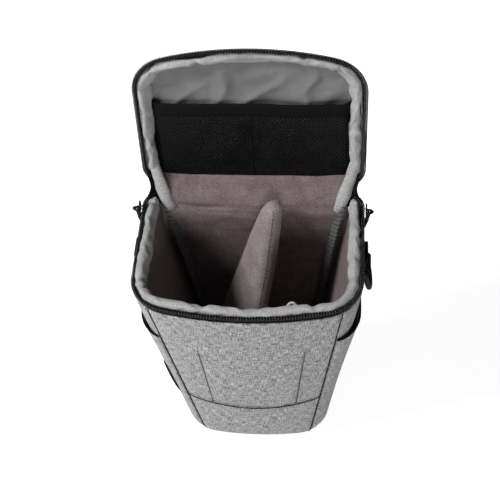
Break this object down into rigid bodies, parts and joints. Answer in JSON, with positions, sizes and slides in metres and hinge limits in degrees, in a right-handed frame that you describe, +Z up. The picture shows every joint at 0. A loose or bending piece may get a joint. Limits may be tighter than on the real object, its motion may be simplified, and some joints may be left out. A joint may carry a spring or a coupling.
{
  "type": "top-loading camera bag",
  "caption": "Padded holster-style camera bag with a zipped lid standing open, mesh lid pocket, tongue divider, side slip pockets, strap rings and a belt loop.",
  "frame": {"origin": "middle of the flat bottom", "axes": "+Z up, -Y towards the front of the bag, +X to the right as seen from the front"},
  "size_m": [0.197, 0.1871, 0.3561],
  "materials": {
    "shell_cloth": "light grey heather woven polyester",
    "velour": "taupe brushed velour over foam",
    "lip_velour": "light grey brushed velour over foam",
    "black_webbing": "black woven webbing and tape",
    "mesh": "black knitted mesh",
    "nylon_lining": "grey woven nylon lining",
    "cord": "pale braided cord",
    "zip_nylon": "black nylon zip coil",
    "dark_metal": "dark gunmetal"
  },
  "bodies": {
    "body": {"bottom_panel": "shell_cloth", "front_panel": "shell_cloth", "front_lower_panel": "shell_cloth", "front_pocket_panel": "shell_cloth", "left_side_panel": "shell_cloth", "right_side_panel": "shell_cloth", "left_pocket_panel": "shell_cloth", "right_pocket_panel": "shell_cloth", "left_pocket_binding": "black_webbing", "right_pocket_binding": "black_webbing", "back_panel": "shell_cloth", "floor_pad": "velour", "front_wall_pad": "velour", "left_wall_pad": "velour", "right_wall_pad": "velour", "back_wall_pad": "velour", "hinge_pad": "velour", "left_corner_binding": "nylon_lining", "right_corner_binding": "nylon_lining", "rim_lip": "lip_velour", "body_zip_tape": "black_webbing", "body_zip_chain": "zip_nylon", "left_zip_end_tab": "black_webbing", "right_zip_end_tab": "black_webbing", "left_ring_tab": "black_webbing", "right_ring_tab": "black_webbing", "left_side_tag": "black_webbing", "belt_loop": "black_webbing", "inner_pull_loop": "cord", "hinge_outer": "shell_cloth", "hinge_lining": "velour"},
    "lid": {"lid_top_panel": "shell_cloth", "lid_side_band": "shell_cloth", "lid_lip": "lip_velour", "lid_zip_tape": "black_webbing", "lid_zip_chain": "zip_nylon", "lid_top_pad": "nylon_lining", "lid_lining": "nylon_lining", "lid_back_pad": "velour", "lid_mesh_pocket": "mesh", "lid_mesh_binding": "black_webbing", "carry_handle": "black_webbing"},
    "divider": {"divider_pad": "velour", "divider_hook_strip": "velour"},
    "left_zip_slider": {"left_slider": "dark_metal"},
    "right_zip_slider": {"right_slider": "dark_metal"},
    "left_pull": {"left_slider_pull": "dark_metal"},
    "right_pull": {"right_slider_pull": "dark_metal"},
    "left_ring": {"left_d_ring": "dark_metal"},
    "right_ring": {"right_d_ring": "dark_metal"}
  },
  "joints": [
    {"name": "lid_hinge", "type": "hinge", "parent": "body", "child": "lid", "pos_m": [0, 0.052, 0.22], "axis": [1, 0, 0], "range_deg": [-50, 95], "deforming": ["hinge_outer", "hinge_lining"]},
    {"name": "divider_slide", "type": "slide", "parent": "body", "child": "divider", "axis": [1, 0, 0], "range_m": [-0.012, 0.03]},
    {"name": "left_slider_slide", "type": "slide", "parent": "body", "child": "left_zip_slider", "axis": [0, -1, 0], "range_m": [0, 0.06]},
    {"name": "right_slider_slide", "type": "slide", "parent": "body", "child": "right_zip_slider", "axis": [0, -1, 0], "range_m": [0, 0.06]},
    {"name": "left_pull_swing", "type": "hinge", "parent": "left_zip_slider", "child": "left_pull", "pos_m": [-0.0961, 0.0278, 0.22], "axis": [0, 1, 0], "range_deg": [0, 160]},
    {"name": "right_pull_swing", "type": "hinge", "parent": "right_zip_slider", "child": "right_pull", "pos_m": [0.0961, 0.0278, 0.22], "axis": [0, -1, 0], "range_deg": [0, 160]},
    {"name": "left_ring_swing", "type": "hinge", "parent": "body", "child": "left_ring", "pos_m": [-0.09267, -0.002, 0.18943], "axis": [0, 1, 0], "range_deg": [0, 110]},
    {"name": "right_ring_swing", "type": "hinge", "parent": "body", "child": "right_ring", "pos_m": [0.09267, -0.002, 0.18943], "axis": [0, -1, 0], "range_deg": [0, 110]}
  ]
}
